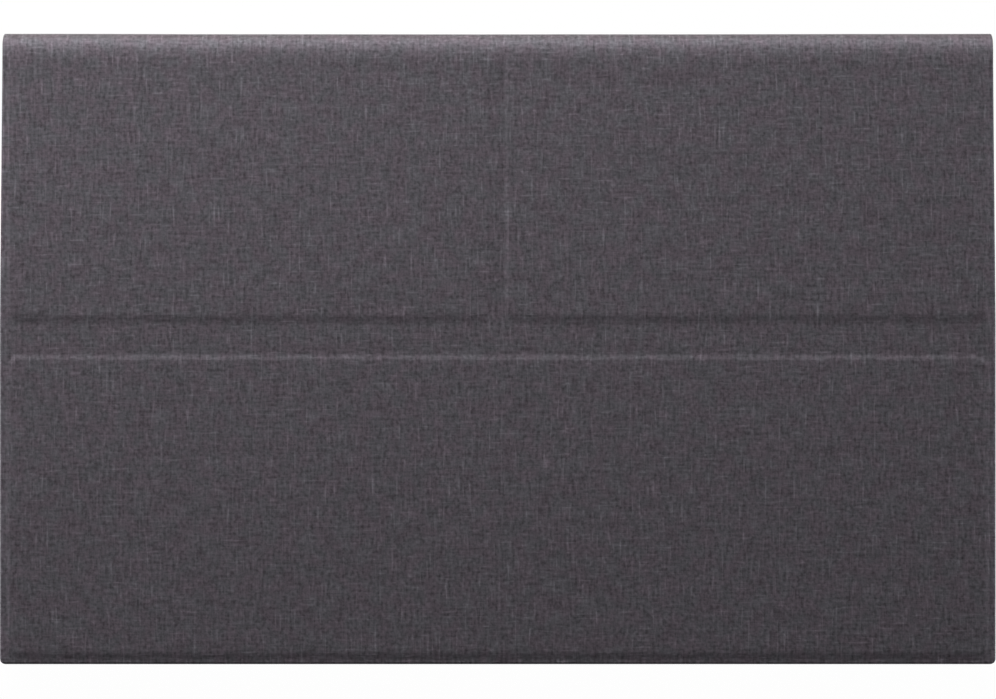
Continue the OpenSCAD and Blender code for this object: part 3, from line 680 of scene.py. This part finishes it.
def cloth_columns(cover):
    """Lines of points across the cover, round both side rims."""
    inner = HALF_W - CORNER_R
    level = graded(-inner, inner, board_edges(True), *CLOTH_STEPS)
    side = [inner + t for t in rim_lines(cover)]
    return [-a for a in reversed(side)] + level + side


def level_rows(low, high):
    """Lines of points along the cover from low to high, even round the roll and graded before and after."""
    edges = board_edges(False)
    roll = [s for s in [FLAP_L] + steps(FLAP_L, ROLL_L, ROLL_STEPS) if low < s < high]
    if not roll:
        return graded(low, high, edges, *CLOTH_STEPS)
    before = graded(low, FLAP_L, edges, *CLOTH_STEPS)[:-1] if low < FLAP_L else [low]
    after = graded(ROLL_END, high, edges, *CLOTH_STEPS)[1:] if high > ROLL_END else [high]
    return before + [s for s in roll if s > before[-1] + 1e-6] + after


def cloth_rows(s0, s1, cover, wrap_low, wrap_high):
    """Lines of points along a piece of the cloth, round the free edge where the piece has one."""
    beyond = rim_lines(cover)
    low = s0 + CORNER_R if wrap_low else s0
    high = s1 - CORNER_R if wrap_high else s1
    below = [low - b for b in reversed(beyond)] if wrap_low else []
    above = [high + b for b in beyond] if wrap_high else []
    return below + level_rows(low, high) + above


def at_turn(degrees, radius):
    """The point at a turn round the roll's middle, in degrees up from level."""
    turn = math.radians(degrees)
    return 0, ROLL_Y + radius * math.cos(turn), ROLL_R + radius * math.sin(turn)


def cover_parts(inside):
    """Each part of the cover: its name, stretch, wrapped ends, bodies, and where it bends between them.
    Inside is True for the lining, which bends at the inner face of the roll."""
    if inside:
        depth, radius, back_bend = LEAF_T, ROLL_R - (LEAF_T - DROP), LINING_BACK_BEND
        fold_y = (fold_box[0].y + fold_box[1].y) / 2 + 2 * MM
        leaf_y = ROLL_Y - 0.3 * MM
    else:
        depth, radius, back_bend = 0.0, ROLL_R, CLOTH_BACK_BEND
        fold_y = FREE_Y + SPLIT_S - 0.5 * MM
        leaf_y = ROLL_Y
    fold = ((0, fold_y, TOTAL_Z), (0, lower_board[1].y + 1.2 * MM, TOTAL_Z))
    front = (at_turn(FRONT_TURN, radius), (0, leaf_y, TOTAL_Z - depth))
    back = [at_turn(degrees, radius) for degrees in back_bend]
    return (
        ("lower", 0.0, SPLIT_S, True, False, ("upper_cover", "lower_cover"), fold),
        ("upper", SPLIT_S, SPINE_S, False, False, ("spine", "upper_cover"), front),
        ("back", SPINE_S, END_S, False, True, ("monitor", "spine"), back),
    )


CLOTH_NODES = {
    "lower": ("lower_fabric", "fold_crease"),
    "upper": ("upper_fabric", "front_crease", "spine_fabric"),
    "back": ("back_fabric", "back_crease"),
}
LINING_NODES = {
    "lower": ("lower_lining",),
    "upper": ("upper_lining", "spine_lining"),
    "back": ("back_lining",),
}


class MONITOR_OT_cover_cloth(bpy.types.Operator):
    """Makes the outer cloth: one weave that runs on over panels, creases and spine, in three parts"""

    bl_idname = "monitor.cover_cloth"
    bl_label = "Cover cloth"

    def execute(self, context):
        cover, finish = context.scene.monitor_cover, context.scene.monitor_finish
        weave = heathered_weave("heathered_polyester_weave", finish.cloth)
        columns = cloth_columns(cover)

        def point(a, s):
            return wrapped_point(a, s, cover)

        for name, s0, s1, wrap_low, wrap_high, bodies, (start, end) in cover_parts(False):
            rows = cloth_rows(s0, s1, cover, wrap_low, wrap_high)
            piece = grid_piece(f"cover_cloth_{name}", columns, rows, point, cover.cloth_t, weave, False)
            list(bodies)
            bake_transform(piece)
            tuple(start)
            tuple(end)
            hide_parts(*CLOTH_NODES[name])
        return {"FINISHED"}


class MONITOR_OT_cover_lining(bpy.types.Operator):
    """Makes the lining inside the cover, in the same three parts"""

    bl_idname = "monitor.cover_lining"
    bl_label = "Cover lining"

    def execute(self, context):
        cover, finish = context.scene.monitor_cover, context.scene.monitor_finish
        suede = napped_lining("microfibre_lining", finish.lining)
        side = HALF_W - TURN_IN + LAP
        columns = graded(-side, side, [-side, side], *LINING_STEPS)

        def point(x, s):
            x *= half_width(s, cover) / HALF_W
            sunk = PRESSED - FOLLOWS * relief(x, s, cover)
            glued = BONDED * (1 - smooth(abs(s - BACK_CREASE_S) / BONDED_REACH))
            return place(x, s, sunk - leaf_depth(s) + glued)

        for name, s0, s1, wrap_low, wrap_high, bodies, (start, end) in cover_parts(True):
            low = s0 + TURN_IN - LAP if wrap_low else s0
            high = s1 - TURN_IN + LAP if wrap_high else s1
            rows = level_rows(low, high)
            piece = grid_piece(f"cover_lining_{name}", columns, rows, point, cover.lining_t, suede, True)
            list(bodies)
            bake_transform(piece)
            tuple(start)
            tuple(end)
            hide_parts(*LINING_NODES[name])
        return {"FINISHED"}


# Stage ------------------------------------------------------------------------

PHOTO_W, PHOTO_H = 996, 699
PX_PER_MM = 2.80  # of the cover's face in the photograph
CASE_PX = (497.75, 349.25)  # the case's middle in the photograph
CAMERA_Z = 3.0
SENSOR_MM = 36.0

FLOOR_SIZE, FLOOR_GAP = 8.0, 0.2 * MM
# How much of what is behind the floor shows through it
FLOOR_CLEAR = 0.985
# How light the floor and the world are to light that bounces about, where white is 1
FLOOR_BOUNCE, WORLD_BOUNCE = 0.45, 0.02


class MONITOR_OT_stage(bpy.types.Operator):
    """Makes the camera, the lamps, the pale floor and the white around it"""

    bl_idname = "monitor.stage"
    bl_label = "Stage"

    def execute(self, context):
        self.camera(context)
        self.floor(context)
        self.world(context)
        self.lamps(context)
        context.scene.view_settings.view_transform = "Standard"
        return {"FINISHED"}

    def camera(self, context):
        data = bpy.data.cameras.new("camera")
        data.sensor_width = SENSOR_MM
        focal_px = PX_PER_MM / MM * (CAMERA_Z - TOTAL_Z)
        data.lens = focal_px * SENSOR_MM / PHOTO_W
        data.clip_start, data.clip_end = 0.05, 20
        camera = bpy.data.objects.new("camera", data)
        context.scene.collection.objects.link(camera)
        camera.location = ((PHOTO_W / 2 - CASE_PX[0]) / PX_PER_MM * MM,
                           (CASE_PX[1] - PHOTO_H / 2) / PX_PER_MM * MM, CAMERA_Z)
        context.scene.camera = camera

    def floor(self, context):
        bpy.ops.object.select_all(action="DESELECT")
        bpy.ops.mesh.primitive_plane_add(size=FLOOR_SIZE, location=(0, 0, -FLOOR_GAP))
        floor = context.active_object
        floor.name = "floor"
        material, tree = new_material("plain_white_floor")
        rays = add(tree, "ShaderNodeLightPath").outputs
        mirrored = maths(tree, "MAXIMUM", rays["Is Glossy Ray"], rays["Is Transmission Ray"])
        seen = maths(tree, "MAXIMUM", rays["Is Camera Ray"], mirrored)
        tone = ranged(tree, seen, 0.0, 1.0, FLOOR_BOUNCE, 1.0)
        matt = add(tree, "ShaderNodeBsdfDiffuse", {"Color": tone})
        glow = add(tree, "ShaderNodeEmission", {
            "Color": linear(context.scene.monitor_finish.floor), "Strength": 1.0})
        reflected = add(tree, "ShaderNodeMixShader", {
            0: maths(tree, "MULTIPLY", mirrored, FLOOR_CLEAR), 1: matt.outputs[0], 2: glow.outputs[0]})
        # The white behind shows through the floor, and so does a cover that is folded down past it. The
        # lamps' light goes through it to the underside.
        clear = add(tree, "ShaderNodeBsdfTransparent")
        looked = maths(tree, "MULTIPLY", rays["Is Camera Ray"], FLOOR_CLEAR)
        through = maths(tree, "MAXIMUM", looked, rays["Is Shadow Ray"])
        finish_material(tree, add(tree, "ShaderNodeMixShader", {
            0: through, 1: reflected.outputs[0], 2: clear.outputs[0]}))
        floor.data.materials.append(material)

    def world(self, context):
        world = bpy.data.worlds.new("studio")
        world.use_nodes = True
        context.scene.world = world
        tree = world.node_tree
        tree.nodes.clear()
        rays = add(tree, "ShaderNodeLightPath").outputs
        seen = maths(tree, "MAXIMUM", rays["Is Camera Ray"], rays["Is Transmission Ray"])
        sky = add(tree, "ShaderNodeBackground", {
            "Color": linear(context.scene.monitor_finish.floor),
            "Strength": ranged(tree, seen, 0.0, 1.0, WORLD_BOUNCE, 1.0)})
        add(tree, "ShaderNodeOutputWorld", {"Surface": sky.outputs[0]})

    def lamps(self, context):
        # name, place, aim, width and height, power, colour
        lamps = (
            ("key", (-0.27, 0.84, 0.272), (0, 0.02, 0), (1.2, 0.22), 27.5, (1.0, 0.99, 0.98)),
            ("left", (-0.75, 0.05, 0.04), (0, 0.05, 0.02), (0.9, 0.04), 3.0, (1.0, 1.0, 1.0)),
            ("right", (0.75, 0.05, 0.04), (0, 0.05, 0.02), (0.9, 0.04), 6.2, (1.0, 1.0, 1.0)),
            ("fill", (0.10, -0.80, 0.05), (0, 0, 0.02), (1.0, 0.06), 2.0, (1.0, 1.0, 1.0)),
            ("under", (0, -0.30, -0.90), (0, 0, 0), (1.2, 1.2), 8.0, (1.0, 1.0, 1.0)),
        )
        for name, spot, aim, (wide, tall), power, colour in lamps:
            data = bpy.data.lights.new(name, "AREA")
            data.shape, data.size, data.size_y, data.energy = "RECTANGLE", wide, tall, power
            data.color = colour
            lamp = bpy.data.objects.new(name, data)
            context.scene.collection.objects.link(lamp)
            lamp.location = spot
            lamp.rotation_mode = "QUATERNION"
            lamp.rotation_quaternion = (Vector(aim) - Vector(spot)).to_track_quat("-Z", "Y")


# Add-on -----------------------------------------------------------------------

OPERATORS = (MONITOR_OT_stage, MONITOR_OT_part_finishes, MONITOR_OT_cover_cloth, MONITOR_OT_cover_lining)


class MONITOR_PT_panel(bpy.types.Panel):
    """Lists the pieces' operators"""

    bl_idname = "MONITOR_PT_panel"
    bl_label = "Portable monitor"
    bl_space_type = "VIEW_3D"
    bl_region_type = "UI"
    bl_category = "Monitor"

    def draw(self, context):
        for operator in OPERATORS:
            self.layout.operator(operator.bl_idname)


CLASSES = (CoverSettings, FinishSettings, *OPERATORS, MONITOR_PT_panel)


def register():
    for cls in CLASSES:
        bpy.utils.register_class(cls)
    bpy.types.Scene.monitor_cover = bpy.props.PointerProperty(type=CoverSettings)
    bpy.types.Scene.monitor_finish = bpy.props.PointerProperty(type=FinishSettings)


def unregister():
    del bpy.types.Scene.monitor_finish, bpy.types.Scene.monitor_cover
    for cls in reversed(CLASSES):
        bpy.utils.unregister_class(cls)


def main():
    register()
    bpy.ops.monitor.stage()
    bpy.ops.monitor.part_finishes()
    bpy.ops.monitor.cover_cloth()
    bpy.ops.monitor.cover_lining()


if __name__ == "__main__":
    main()
